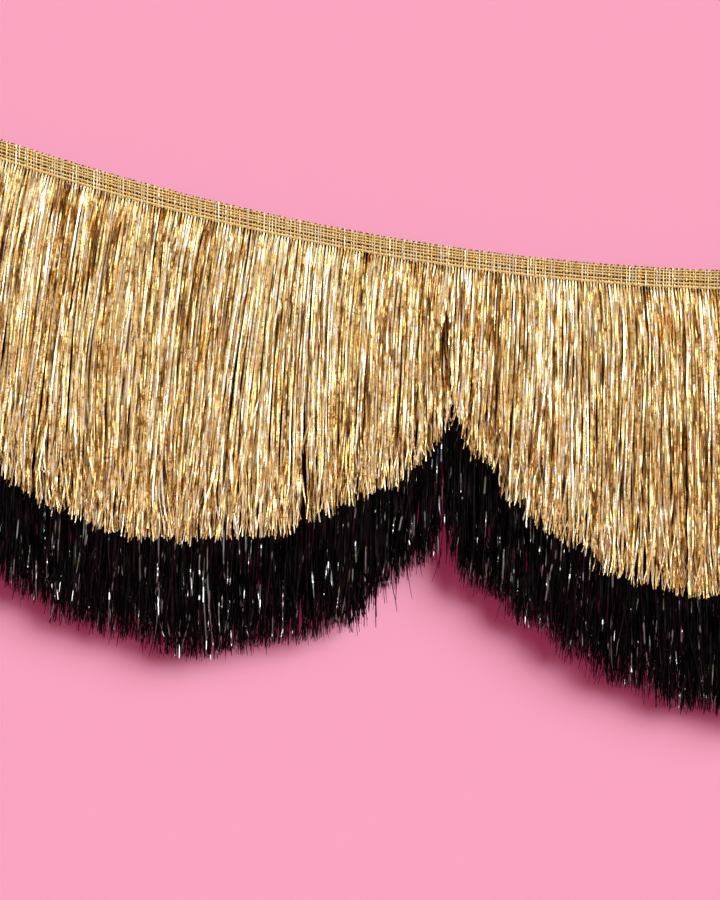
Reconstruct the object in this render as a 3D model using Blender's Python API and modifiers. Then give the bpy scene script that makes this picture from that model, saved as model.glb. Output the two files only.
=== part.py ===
# Scalloped fringe banner: a gold tinsel fringe over a longer black one, both on narrow woven tapes that
# are sewn together and hang in a swag. Metres, +X along the banner, front towards -Y, +Z up. The origin
# is on the flat back of the header, at the middle of the swag.

import math
import random

import bmesh
import bpy
from mathutils import Matrix, Vector

# Banner
SCALLOP_SIDES = ("left", "centre", "right")
SCALLOP_PITCH = 0.280
SWAG_DEPTH = 0.0735
CLEARANCE = 0.0003
WELD_SHARE = 0.01
SHARP_ANGLE = math.radians(30)
SWAG_STATIONS = 12

# Header tapes, with lengthwise cords on the front of the gold one and a seam between two groups of them
HEADER_HEIGHT = 0.0095
TAPE_THICKNESS = 0.0008
CORD_RIDGE_THICKNESS = 0.0004
CORDS_ABOVE_SEAM = 4
CORDS_BELOW_SEAM = 2
SEAM_GROOVE_HEIGHT = 0.0012
SEAM_THREAD_DIAMETER = 0.0005
CORD_BASE_SHARE = 0.84

# Fringe: lengths run from the top of the header to the tips, at a lobe's middle and at a notch
GOLD_LENGTH = 0.1725
GOLD_NOTCH_LENGTH = 0.0950
BLACK_LENGTH = 0.2215
BLACK_NOTCH_LENGTH = 0.1570
GOLD_LOBE_POWER = 2.0
BLACK_LOBE_POWER = 2.4
STRANDS_PER_PANEL = 80
STRAND_SPACING = 0.0008
STRAND_RAGGED_LENGTH = 0.006
STRAND_SLANT_LENGTH = 0.002
STRAND_LEAN_SHARE = 0.62
ROOT_BAND_HEIGHT = 0.003
ROOT_GAP = 0.0004
GOLD_SEED = 11
BLACK_SEED = 23

# End bindings, folded over the cut ends of the tapes
BINDING_LENGTH = 0.012
BINDING_THICKNESS = 0.0005

# Bar tacks, the dense stitches on the front of each binding
TACK_WIDTH = 0.0012
TACK_HEIGHT = 0.0065
TACK_THICKNESS = 0.0005
TACK_ROUNDING_RADIUS = 0.0002
TACK_ROUNDING_STEPS = 2
TACK_ROUNDING_SHARE = 1 / 3

# Hanging eyes, a loop of tape at each end that bends about its neck
EYE_RADIUS = 0.0048
EYE_PLY_THICKNESS = 0.0009
EYE_REACH_LENGTH = 0.0085
EYE_HEIGHT = 0.0075
NECK_WIDTH = 0.0018
EYE_ARC_STEPS = 20
NECK_ARC_STEPS = 6

# Swing of the fringe is about the front plane of the header, so that the strands clear it
HALF_SPAN = SCALLOP_PITCH * len(SCALLOP_SIDES) / 2
BLACK_BACK = 0.0
BLACK_FRONT = BLACK_BACK - TAPE_THICKNESS
GOLD_BACK = BLACK_FRONT - CLEARANCE
GOLD_FRONT = GOLD_BACK - TAPE_THICKNESS
CORD_FRONT = GOLD_FRONT - CORD_RIDGE_THICKNESS
BINDING_INNER_FRONT = CORD_FRONT - CLEARANCE
BINDING_FRONT = BINDING_INNER_FRONT - BINDING_THICKNESS
BINDING_INNER_BACK = BLACK_BACK + CLEARANCE
BINDING_BACK = BINDING_INNER_BACK + BINDING_THICKNESS
PIVOT_DEPTH = BINDING_FRONT


def swag_slope(x):
    """Slope of the header at a place along the banner."""
    return 2 * SWAG_DEPTH * x / HALF_SPAN**2


def below_top_edge(x, drop):
    """Height of a point that lies drop below the header's top edge, measured square to the tape."""
    top_edge = HEADER_HEIGHT / 2 + SWAG_DEPTH * (x / HALF_SPAN) ** 2
    return top_edge - drop * math.hypot(1, swag_slope(x))


def fringe_top(x):
    """Height of the top of the strands, just under the header."""
    return below_top_edge(x, HEADER_HEIGHT + ROOT_GAP)


def scallop_span(side):
    """Ends of one scallop along the banner, short of the notches by half the clearance."""
    start = -HALF_SPAN + SCALLOP_PITCH * SCALLOP_SIDES.index(side)
    return start + CLEARANCE / 2, start + SCALLOP_PITCH - CLEARANCE / 2


def swing_pivot(side):
    """Middle of the line that a scallop's fringe swings about: the chord of its top edge."""
    start, end = scallop_span(side)
    return Vector(((start + end) / 2, PIVOT_DEPTH, (fringe_top(start) + fringe_top(end)) / 2))


def fold_pivot(side):
    """Point on the upright line at the back of the notch that a side scallop folds about."""
    notch = math.copysign(SCALLOP_PITCH / 2, scallop_span(side)[0])
    return Vector((notch, BLACK_BACK, below_top_edge(notch, HEADER_HEIGHT / 2)))


def outward(side):
    """Direction along X from the middle of the banner to an end."""
    return -1 if side == SCALLOP_SIDES[0] else 1


def banner_end(side):
    """Place of the tapes' cut end."""
    start, end = scallop_span(side)
    return start if outward(side) < 0 else end


def binding_mouth(side):
    """Place where a binding's open end lies on the tapes."""
    return banner_end(side) - outward(side) * BINDING_LENGTH


def eye_pivot(side):
    """Point on the upright line at a hanging eye's neck."""
    neck = banner_end(side) + outward(side) * (2 * CLEARANCE + BINDING_THICKNESS + NECK_WIDTH / 2)
    middle = (BINDING_FRONT + BINDING_BACK) / 2
    return Vector((neck, middle, below_top_edge(neck, HEADER_HEIGHT / 2)))


def finish(name, colour, roughness, metallic):
    """Principled material of one sub-part."""
    material = bpy.data.materials.new(name)
    material.use_nodes = True
    shader = material.node_tree.nodes["Principled BSDF"]
    shader.inputs["Base Color"].default_value = (*colour, 1)
    shader.inputs["Roughness"].default_value = roughness
    shader.inputs["Metallic"].default_value = metallic
    return material


def flat_outline(name, outlines, thickness):
    """Filled 2D curve of one outline and its holes, as thick as thickness."""
    curve = bpy.data.curves.new(name, "CURVE")
    curve.dimensions = "2D"
    curve.fill_mode = "BOTH"
    curve.extrude = thickness / 2
    for outline in outlines:
        spline = curve.splines.new("POLY")
        spline.points.add(len(outline) - 1)
        for point, (across, up) in zip(spline.points, outline):
            point.co = (across, up, 0, 1)
        spline.use_cyclic_u = True
    return bpy.data.objects.new(name, curve)


def as_mesh(piece):
    """Mesh object that takes a curve object's place, its caps welded."""
    bpy.context.scene.collection.objects.link(piece)
    bpy.context.view_layer.update()
    evaluated = piece.evaluated_get(bpy.context.evaluated_depsgraph_get())
    mesh = bpy.data.meshes.new_from_object(evaluated)
    solid = bpy.data.objects.new(piece.name + "_solid", mesh)
    solid.matrix_world = piece.matrix_world
    name = piece.name
    bpy.data.objects.remove(piece, do_unlink=True)
    solid.name = name
    shape = bmesh.new()
    shape.from_mesh(mesh)
    bmesh.ops.remove_doubles(shape, verts=shape.verts, dist=CLEARANCE * WELD_SHARE)
    shape.to_mesh(mesh)
    shape.free()
    return solid


def bend_to_swag(piece, cuts):
    """Cut a straight piece across at each place in cuts, then move every point onto the swag."""
    shape = bmesh.new()
    shape.from_mesh(piece.data)
    for place in cuts:
        everything = shape.verts[:] + shape.edges[:] + shape.faces[:]
        bmesh.ops.bisect_plane(shape, geom=everything, plane_co=(place, 0, 0), plane_no=(1, 0, 0))
    for vertex in shape.verts:
        vertex.co.z = below_top_edge(vertex.co.x, -vertex.co.z)
    shape.to_mesh(piece.data)
    shape.free()


def tape(name, section, side):
    """Tape of one scallop from its section, a list of (depth, height above the header's top edge)."""
    start, end = scallop_span(side)
    piece = as_mesh(flat_outline(name, [section], end - start))
    lie_along = Matrix(((0, 0, 1, (start + end) / 2), (1, 0, 0, 0), (0, 1, 0, 0), (0, 0, 0, 1)))
    piece.data.transform(lie_along)
    steps = range(1, SWAG_STATIONS)
    bend_to_swag(piece, [start + (end - start) * step / SWAG_STATIONS for step in steps])
    return piece


def cord_drops():
    """Distance of each cord's middle below the header's top edge."""
    pitch = (HEADER_HEIGHT - SEAM_GROOVE_HEIGHT) / (CORDS_ABOVE_SEAM + CORDS_BELOW_SEAM)
    above = [pitch * (cord + 1 / 2) for cord in range(CORDS_ABOVE_SEAM)]
    below = [HEADER_HEIGHT - pitch * (cord + 1 / 2) for cord in range(CORDS_BELOW_SEAM)]
    return above + below[::-1], pitch


def gold_tape_section():
    """Flat back, and a front with a ridge for each lengthwise cord."""
    drops, pitch = cord_drops()
    reach = pitch * CORD_BASE_SHARE / 2
    section = [(GOLD_BACK, 0), (GOLD_BACK, -HEADER_HEIGHT), (GOLD_FRONT, -HEADER_HEIGHT)]
    for drop in reversed(drops):
        section += [(GOLD_FRONT, -drop - reach), (CORD_FRONT, -drop), (GOLD_FRONT, -drop + reach)]
    section.append((GOLD_FRONT, 0))
    return section


def black_tape_section():
    """Plain flat tape."""
    return [
        (BLACK_BACK, 0),
        (BLACK_BACK, -HEADER_HEIGHT),
        (BLACK_FRONT, -HEADER_HEIGHT),
        (BLACK_FRONT, 0),
    ]


def seam(name, side):
    """Seam thread of one scallop, in the groove between the two groups of cords, up to a binding."""
    pitch = cord_drops()[1]
    drop = pitch * CORDS_ABOVE_SEAM + SEAM_GROOVE_HEIGHT / 2
    depth = GOLD_FRONT - CLEARANCE - SEAM_THREAD_DIAMETER / 2
    start, end = scallop_span(side)
    if side == SCALLOP_SIDES[0]:
        start = binding_mouth(side) + CLEARANCE
    if side == SCALLOP_SIDES[-1]:
        end = binding_mouth(side) - CLEARANCE
    curve = bpy.data.curves.new(name, "CURVE")
    curve.dimensions = "3D"
    curve.bevel_depth = SEAM_THREAD_DIAMETER / 2
    curve.bevel_resolution = 1
    curve.use_fill_caps = True
    spline = curve.splines.new("POLY")
    spline.points.add(SWAG_STATIONS)
    for step, point in enumerate(spline.points):
        x = start + (end - start) * step / SWAG_STATIONS
        point.co = (x, depth, below_top_edge(x, drop), 1)
    return as_mesh(bpy.data.objects.new(name, curve))


def strand_length(place_share, length, notch_length, power):
    """Length from the header's top edge, for a root at 0 in a lobe's middle to 1 at a notch."""
    return notch_length + (length - notch_length) * (1 - abs(place_share) ** power)


def fringe_outline(side, length, notch_length, power, seed):
    """Outline of one panel of separate strands on their root band, as (x, z) points."""
    chance = random.Random(seed + SCALLOP_SIDES.index(side))
    start, end = scallop_span(side)
    middle = (start + end) / 2
    lean = math.atan(swag_slope(middle)) * STRAND_LEAN_SHARE
    pitch = (end - start) / STRANDS_PER_PANEL
    half_width = (pitch - STRAND_SPACING) / 2

    def along_strand(x, distance):
        return x + distance * math.sin(lean), fringe_top(x) - distance * math.cos(lean)

    outline = []
    for step in range(SWAG_STATIONS + 1):
        x = start + (end - start) * step / SWAG_STATIONS
        outline.append((x, fringe_top(x)))
    outline.append(along_strand(end, ROOT_BAND_HEIGHT))
    for strand in reversed(range(STRANDS_PER_PANEL)):
        root = start + pitch * (strand + 1 / 2)
        place_share = (root - middle) / (SCALLOP_PITCH / 2)
        reach = strand_length(place_share, length, notch_length, power) - HEADER_HEIGHT - ROOT_GAP
        reach -= chance.uniform(0, STRAND_RAGGED_LENGTH)
        slant = chance.uniform(-STRAND_SLANT_LENGTH, STRAND_SLANT_LENGTH) / 2
        outline.append(along_strand(root + half_width, ROOT_BAND_HEIGHT))
        outline.append(along_strand(root + half_width, reach + slant))
        outline.append(along_strand(root - half_width, reach - slant))
        outline.append(along_strand(root - half_width, ROOT_BAND_HEIGHT))
    outline.append(along_strand(start, ROOT_BAND_HEIGHT))
    return outline


def fringe(name, outline, back, front):
    """Panel of strands that stands upright between two depths."""
    piece = flat_outline(name, [outline], back - front)
    piece.location = (0, (back + front) / 2, 0)
    piece.rotation_euler = (math.pi / 2, 0, 0)
    return as_mesh(piece)


def binding(name, side):
    """Strip folded over the tapes' cut end, as tall as they are."""
    way = outward(side)
    inner_web = banner_end(side) + way * CLEARANCE
    outer_web = inner_web + way * BINDING_THICKNESS
    open_end = binding_mouth(side)
    outline = [
        (open_end, BINDING_BACK),
        (outer_web, BINDING_BACK),
        (outer_web, BINDING_FRONT),
        (open_end, BINDING_FRONT),
        (open_end, BINDING_INNER_FRONT),
        (inner_web, BINDING_INNER_FRONT),
        (inner_web, BINDING_INNER_BACK),
        (open_end, BINDING_INNER_BACK),
    ]
    piece = as_mesh(flat_outline(name, [outline], HEADER_HEIGHT))
    piece.data.transform(Matrix.Translation((0, 0, -HEADER_HEIGHT / 2)))
    bend_to_swag(piece, [])
    return piece


def bar_tack(name, side):
    """Upright bar of stitches on the front of a binding."""
    bpy.ops.mesh.primitive_cube_add(size=1)
    piece = bpy.context.object
    piece.name = name
    piece.data.name = name
    x = (banner_end(side) + binding_mouth(side)) / 2
    for vertex in piece.data.vertices:
        vertex.co.x *= TACK_WIDTH
        vertex.co.y *= TACK_THICKNESS
        vertex.co.z *= TACK_HEIGHT
    piece.location = (
        x,
        BINDING_FRONT - CLEARANCE - TACK_THICKNESS / 2,
        below_top_edge(x, HEADER_HEIGHT / 2),
    )
    rounding = piece.modifiers.new("rounding", "BEVEL")
    thinnest = min(TACK_THICKNESS, TACK_WIDTH)
    rounding.width = min(TACK_ROUNDING_RADIUS, thinnest * TACK_ROUNDING_SHARE)
    rounding.segments = TACK_ROUNDING_STEPS
    return piece


def hanging_eye(name, side):
    """Loop of tape on a neck, its bore upright, drawn in plan about the neck's pivot."""
    pivot = eye_pivot(side)
    way = outward(side)
    half_neck = NECK_WIDTH / 2
    ring_start = math.pi - math.asin(half_neck / EYE_RADIUS)
    outer = []
    for step in range(NECK_ARC_STEPS + 1):
        angle = math.pi / 2 + math.pi * step / NECK_ARC_STEPS
        outer.append((half_neck * math.cos(angle), half_neck * math.sin(angle)))
    for step in range(EYE_ARC_STEPS + 1):
        angle = -ring_start + 2 * ring_start * step / EYE_ARC_STEPS
        outer.append((EYE_REACH_LENGTH + EYE_RADIUS * math.cos(angle), EYE_RADIUS * math.sin(angle)))
    bore = []
    for step in range(EYE_ARC_STEPS):
        angle = 2 * math.pi * step / EYE_ARC_STEPS
        radius = EYE_RADIUS - EYE_PLY_THICKNESS
        bore.append((EYE_REACH_LENGTH + radius * math.cos(angle), radius * math.sin(angle)))
    loops = [[(way * across, up) for across, up in loop] for loop in (outer, bore)]
    piece = as_mesh(flat_outline(name, loops, EYE_HEIGHT))
    end_slope = swag_slope(banner_end(side))
    for vertex in piece.data.vertices:
        vertex.co.z += end_slope * vertex.co.x
    piece.location = pivot
    return piece


def pivot_empty(name, place, parent):
    """Empty on a joint's axis, which the pieces that move about it hang on."""
    empty = bpy.data.objects.new(name, None)
    bpy.context.scene.collection.objects.link(empty)
    hang(empty, parent, place)
    empty.empty_display_size = HEADER_HEIGHT
    return empty


def hang(piece, parent, place):
    """Parent a piece and keep its world place."""
    piece.location = Vector(place)
    if parent is not None:
        piece.parent = parent
        above = parent
        while above is not None:
            piece.location -= above.location
            above = above.parent


def build():
    """Make every sub-part, in its material, on its pivot."""
    for thing in list(bpy.data.objects):
        bpy.data.objects.remove(thing, do_unlink=True)
    banner = bpy.data.collections.new("scalloped_fringe_banner")
    bpy.context.scene.collection.children.link(banner)

    gold_weave = finish("gold_weave", (0.62, 0.45, 0.22), 0.45, 0.6)
    black_weave = finish("black_weave", (0.03, 0.02, 0.02), 0.5, 0.3)
    gold_foil = finish("gold_foil", (0.80, 0.58, 0.28), 0.28, 1.0)
    black_foil = finish("black_foil", (0.03, 0.02, 0.025), 0.3, 0.6)
    thread = finish("thread", (0.30, 0.18, 0.08), 0.7, 0.0)
    binding_cloth = finish("binding_cloth", (0.55, 0.38, 0.18), 0.55, 0.4)

    def keep(piece, material, pivot):
        for holder in piece.users_collection:
            holder.objects.unlink(piece)
        banner.objects.link(piece)
        piece.data.materials.clear()
        piece.data.materials.append(material)
        piece.data.shade_smooth()
        piece.data.set_sharp_from_angle(angle=SHARP_ANGLE)
        if pivot is not None:
            hang(piece, pivot, piece.location.copy())

    for side in SCALLOP_SIDES:
        at_end = side != "centre"
        fold = pivot_empty("fold_" + side, fold_pivot(side), None) if at_end else None
        lift_black = pivot_empty("lift_black_" + side, swing_pivot(side), fold)
        lift_gold = pivot_empty("lift_gold_" + side, swing_pivot(side), lift_black)

        keep(tape("gold_header_" + side, gold_tape_section(), side), gold_weave, fold)
        keep(tape("black_header_" + side, black_tape_section(), side), black_weave, fold)
        keep(seam("seam_thread_" + side, side), thread, fold)

        black = fringe_outline(side, BLACK_LENGTH, BLACK_NOTCH_LENGTH, BLACK_LOBE_POWER, BLACK_SEED)
        keep(fringe("black_fringe_" + side, black, BLACK_BACK, BLACK_FRONT), black_foil, lift_black)
        gold = fringe_outline(side, GOLD_LENGTH, GOLD_NOTCH_LENGTH, GOLD_LOBE_POWER, GOLD_SEED)
        keep(fringe("gold_fringe_" + side, gold, GOLD_BACK, GOLD_FRONT), gold_foil, lift_gold)

        if at_end:
            keep(binding("end_binding_" + side, side), binding_cloth, fold)
            keep(bar_tack("bar_tack_" + side, side), thread, fold)
            turn = pivot_empty("turn_eye_" + side, eye_pivot(side), fold)
            keep(hanging_eye("hanging_eye_" + side, side), binding_cloth, turn)


build()
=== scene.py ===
import math

import bpy
import numpy as np
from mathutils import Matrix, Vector


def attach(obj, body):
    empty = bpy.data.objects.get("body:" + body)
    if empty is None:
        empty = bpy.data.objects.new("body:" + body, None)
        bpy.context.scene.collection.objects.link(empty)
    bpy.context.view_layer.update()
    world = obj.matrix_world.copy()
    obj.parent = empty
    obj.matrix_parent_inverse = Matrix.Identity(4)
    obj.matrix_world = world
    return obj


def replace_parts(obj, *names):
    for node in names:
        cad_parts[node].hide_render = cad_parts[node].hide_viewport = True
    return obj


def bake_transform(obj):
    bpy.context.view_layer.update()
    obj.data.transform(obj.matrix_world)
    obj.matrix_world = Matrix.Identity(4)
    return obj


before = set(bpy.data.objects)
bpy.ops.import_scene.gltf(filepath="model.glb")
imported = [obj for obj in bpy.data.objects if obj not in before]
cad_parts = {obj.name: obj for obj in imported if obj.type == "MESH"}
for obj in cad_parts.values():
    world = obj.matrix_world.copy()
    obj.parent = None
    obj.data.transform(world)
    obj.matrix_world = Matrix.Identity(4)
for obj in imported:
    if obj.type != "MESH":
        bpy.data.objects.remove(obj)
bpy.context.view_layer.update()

# Scalloped fringe banner: gold tinsel strands over longer black ones, both hanging from narrow
# woven tapes that are sewn together. Metres, +X along the banner, front towards -Y, as in the
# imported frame.

banner = {
    "sides": ("left", "centre", "right"),
    "pitch": 0.280,           # one scallop
    "dip": 0.0735,            # how far the middle of the swag hangs below its ends
    "headerHeight": 0.0095,
    "headerCut": 0.100,       # the tapes' pieces meet here, inside the centre scallop
    "foldHalf": 0.0055,       # half of the stretch of tape that bends at a notch
    "pivotDepth": -0.0031,    # the strands swing about a line in the header's front plane
    "pivotBelow": 0.0004,     # and this far below the header
}
halfSpan = banner["pitch"] * 1.5


def swagSlope(x):
    return 2 * banner["dip"] * x / halfSpan**2


def belowTop(x, drop):
    # height of the place this far down from the header's top edge, square to it
    topEdge = banner["headerHeight"] / 2 + banner["dip"] * (x / halfSpan) ** 2
    return topEdge - drop * np.hypot(1, swagSlope(x))


def laid(x, depth, drop):
    # points on the header, this far down from its top edge
    x, depth, drop = np.broadcast_arrays(x, depth, drop)
    return np.stack([x, depth, belowTop(x, drop)], axis=-1)


def scallopStart(side):
    return -halfSpan + banner["pitch"] * banner["sides"].index(side)


def headerStretch(side):
    # the centre piece is short, so that the outer two can bend over the notches
    cut = banner["headerCut"]
    return {"left": (-halfSpan, -cut), "centre": (-cut, cut), "right": (cut, halfSpan)}[side]


def chordPlane(side):
    # middle of the line that a scallop's strands swing about, and the way down from it
    start = scallopStart(side)
    drop = banner["headerHeight"] + banner["pivotBelow"]
    left, right = belowTop(start, drop), belowTop(start + banner["pitch"], drop)
    slope = (right - left) / banner["pitch"]
    down = np.array([slope, 0.0, -1.0]) / math.hypot(1, slope)
    middle = np.array([start + banner["pitch"] / 2, banner["pivotDepth"], (left + right) / 2])
    return middle, down


# Numbers that vary smoothly

def smoothstep(t):
    t = np.clip(t, 0, 1)
    return t * t * (3 - 2 * t)


def drift(rng, rows, knots, along):
    # one random curve for each row, through knots evenly spaced values, read at along (0 to 1)
    values = rng.normal(0, 1, (rows, knots + 1))
    place = np.clip(along, 0, 1) * (knots - 1e-6)
    step = place.astype(int)
    share = smoothstep(place - step)
    row = np.arange(rows)[:, None]
    return values[row, step] * (1 - share) + values[row, step + 1] * share


def field(rng, x, y, cell):
    # smooth noise over two directions, about -1 to 1
    u, v = (x - x.min()) / cell[0], (y - y.min()) / cell[1]
    grid = rng.normal(0, 1, (int(u.max()) + 2, int(v.max()) + 2))
    i, j = u.astype(int), v.astype(int)
    a, b = smoothstep(u - i), smoothstep(v - j)
    low = grid[i, j] * (1 - a) + grid[i + 1, j] * a
    high = grid[i, j + 1] * (1 - a) + grid[i + 1, j + 1] * a
    return low * (1 - b) + high * b


# Meshes

ribbonCorners = 3  # points in each ring of a strand or a weft


def unit(v):
    return v / np.maximum(np.linalg.norm(v, axis=-1, keepdims=True), 1e-12)


def newPiece(name, shape, material, values=None, rings=None, mapUv=None):
    # shape is the points, and the faces in sets of one size each
    points, faceSets = shape
    mesh = bpy.data.meshes.new(name)
    corners = np.concatenate([faces.ravel() for faces in faceSets]).astype(np.int32)
    sizes = np.concatenate([np.full(len(faces), faces.shape[1]) for faces in faceSets])
    mesh.vertices.add(len(points))
    mesh.vertices.foreach_set("co", points.astype(np.float32).ravel())
    mesh.loops.add(len(corners))
    mesh.loops.foreach_set("vertex_index", corners)
    mesh.polygons.add(len(sizes))
    mesh.polygons.foreach_set("loop_start", (np.cumsum(sizes) - sizes).astype(np.int32))
    mesh.update(calc_edges=True)
    mesh.polygons.foreach_set("use_smooth", np.ones(len(sizes), bool))
    if rings:  # the edges along a ribbon and round its ends stay crisp
        edges = np.zeros(len(mesh.edges) * 2, np.int32)
        mesh.edges.foreach_get("vertices", edges)
        first, second = edges.reshape(-1, 2).T
        lengthwise = np.abs(first - second) == ribbonCorners
        atEnd = np.isin(first // ribbonCorners % rings, (0, rings - 1))
        sharp = mesh.attributes.new("sharp_edge", "BOOLEAN", "EDGE")
        sharp.data.foreach_set("value", lengthwise | atEnd)
    for key, numbers in (values or {}).items():
        layer = mesh.attributes.new(key, "FLOAT", "POINT")
        layer.data.foreach_set("value", numbers.astype(np.float32).ravel())
    if mapUv is not None:
        layer = mesh.uv_layers.new(name="OFBake", do_init=False)
        layer.uv.foreach_set("vector", mapUv[corners].astype(np.float32).ravel())
    mesh.materials.append(material)
    piece = bpy.data.objects.new(name, mesh)
    bpy.context.scene.collection.objects.link(piece)
    return piece


def ribbons(centre, turn, width, crease, cut=None, tangent=None):
    # flat strips with a light lengthwise crease, from middle lines of (strips, rings, 3)
    count, rings = centre.shape[:2]
    tangent = unit(np.gradient(centre, axis=1) if tangent is None else tangent)
    across = unit(np.array([1.0, 0, 0]) - tangent[..., :1] * tangent)
    facing = np.cross(tangent, across)
    side = across * np.cos(turn)[..., None] + facing * np.sin(turn)[..., None]
    normal = np.cross(tangent, side)
    half = side * width[..., None] / 2
    left, right, back = centre - half, centre + half, centre - normal * crease
    if cut is not None:  # the tip is snipped at an angle
        left[:, -1] += tangent[:, -1] * cut[:, None]
        right[:, -1] -= tangent[:, -1] * cut[:, None]
    points = np.stack([left, right, back], axis=2).reshape(-1, 3)
    ahead = ribbonCorners
    start = np.arange(count)[:, None] * rings * ahead
    end = start + (rings - 1) * ahead
    first = (start + np.arange(rings - 1) * ahead).reshape(-1, 1)
    sides = [first + np.array([a, a + ahead, b + ahead, b]) for a, b in ((0, 1), (1, 2), (2, 0))]
    return points, [np.concatenate(sides), np.concatenate([start + [0, 1, 2], end + [0, 2, 1]])]


mapPlace = {"across": (0.12, 0.88, 0.5), "margin": 0.02}  # inside a ribbon's own column


def ribbonMap(count, rings, perBlock):
    # one upright column a ribbon, in a few rows, for baked textures
    blocks = -(-count // perBlock)
    column, block = np.arange(count) % perBlock, np.arange(count) // perBlock
    u = (column[:, None, None] + np.array(mapPlace["across"])) / perBlock
    margin = mapPlace["margin"]
    up = margin + (1 - 2 * margin) * (1 - np.arange(rings)[None, :, None] / (rings - 1))
    v = (block[:, None, None] + up) / blocks
    return np.stack(np.broadcast_arrays(u, v), axis=-1).reshape(-1, 2)


def ribbonPiece(name, shape, material, strand, along, perBlock):
    # strand is each ribbon's own number, and along (ribbons, rings) the place along it
    count, rings = along.shape
    values = {
        "strand": np.repeat(strand, rings * ribbonCorners),
        "along": np.repeat(along.ravel(), ribbonCorners),
    }
    uv = ribbonMap(count, rings, perBlock)
    return newPiece(name, shape, material, values, rings, uv)


def tubes(path, sizeUp, sizeOut, corners, up=(0.0, 0.0, 1.0), plumb=False, power=1.0):
    # closed cords of an oval section, along (cords, stations, 3). A power below 1 makes the
    # section squarer. Plumb sections stand upright on a slope, so that the ends do too.
    count, stations = path.shape[:2]
    tangent = unit(np.gradient(path, axis=1))
    upward = np.broadcast_to(np.array(up), path.shape)
    if not plumb:
        upward = unit(upward - (tangent * upward).sum(axis=-1, keepdims=True) * tangent)
    out = unit(np.cross(tangent, upward))
    angle = np.arange(corners) / corners * 2 * math.pi
    section = np.stack([np.cos(angle), np.sin(angle)]).round(9)
    across, through = np.sign(section) * np.abs(section) ** power
    ring = path[:, :, None]
    for way, size, place in ((upward, sizeUp, across), (out, sizeOut, through)):
        size = np.broadcast_to(size, path.shape[:2])[..., None]
        ring = ring + way[:, :, None] * (place * size)[..., None]
    base = np.arange(count)[:, None, None] * stations * corners
    k, j = np.arange(stations - 1)[None, :, None], np.arange(corners)[None, None, :]
    here, ahead, following = base + k * corners, base + (k + 1) * corners, (j + 1) % corners
    quads = (here + j, here + following, ahead + following, ahead + j)
    quads = np.stack(np.broadcast_arrays(*quads), axis=-1).reshape(-1, 4)
    start, end = base[:, 0], base[:, 0] + (stations - 1) * corners
    return ring.reshape(-1, 3), [quads, start + np.arange(corners)[::-1], end + np.arange(corners)]


def joined(parts):
    # one set of points and faces out of several
    points, faces, offset = [], {}, 0
    for some, sets in parts:
        points.append(some)
        for group in sets:
            faces.setdefault(group.shape[1], []).append(group + offset)
        offset += len(some)
    return np.concatenate(points), [np.concatenate(sets) for sets in faces.values()]


# Materials

colourLabels = ("Colour", "Deep", "Middle", "Pale", "Valley", "Crown")


def nodeGroup(name, inputs, outputs):
    # every socket is a number, apart from the colours above
    group = bpy.data.node_groups.new(name, "ShaderNodeTree")
    for way, labels in (("INPUT", inputs), ("OUTPUT", outputs)):
        for label in labels:
            kind = "NodeSocketColor" if label in colourLabels else "NodeSocketFloat"
            group.interface.new_socket(label, in_out=way, socket_type=kind)
    return group, group.nodes.new("NodeGroupInput"), group.nodes.new("NodeGroupOutput")


def feed(tree, socket, value):
    # a socket gets a link from another node's output, or an even value
    if hasattr(value, "is_output"):
        tree.links.new(value, socket)
    elif value is not None:
        socket.default_value = value


def addMath(tree, operation, first, second=None, clamp=False):
    node = tree.nodes.new("ShaderNodeMath")
    node.operation = operation
    node.use_clamp = clamp
    feed(tree, node.inputs[0], first)
    feed(tree, node.inputs[1], second)
    return node.outputs[0]


def addMix(tree, factor, first, second):
    node = tree.nodes.new("ShaderNodeMix")
    node.data_type = "RGBA"
    for number, value in ((0, factor), (6, first), (7, second)):  # the colour sockets are 6 and 7
        feed(tree, node.inputs[number], value)
    return node.outputs[2]


def addNoise(tree, vector, scale, detail):
    node = tree.nodes.new("ShaderNodeTexNoise")
    node.inputs["Scale"].default_value = scale
    node.inputs["Detail"].default_value = detail
    tree.links.new(vector, node.inputs["Vector"])
    return node.outputs["Fac"]


def addRange(tree, value, reach, to=(0.0, 1.0)):
    node = tree.nodes.new("ShaderNodeMapRange")
    node.interpolation_type = "SMOOTHSTEP"
    tree.links.new(value, node.inputs["Value"])
    for label, number in zip(("From Min", "From Max", "To Min", "To Max"), (*reach, *to)):
        node.inputs[label].default_value = number
    return node.outputs[0]


def addSeen(tree, labels):
    # 1 where one of these kinds of ray from Light Path looks on, else 0
    path = tree.nodes.new("ShaderNodeLightPath")
    seen = path.outputs[labels[0]]
    for label in labels[1:]:
        seen = addMath(tree, "ADD", seen, path.outputs[label], True)
    return seen


def attribute(tree, name):
    node = tree.nodes.new("ShaderNodeAttribute")
    node.attribute_name = name
    return node.outputs["Fac"]


streaks = {
    "apart": 913.0,                          # sets the strands far apart in the noise
    "slow": (2.0, 2.0), "quick": (7.5, 2.5),  # scale and detail
    "strandShare": 0.34, "quickShare": 0.5,
    "dark": (0.64, 0.88), "pale": (0.90, 1.14), "gloss": (0.84, 0.87),
    "roughFrom": (0.3, 0.7), "rough": (0.26, 0.42),
}


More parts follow.
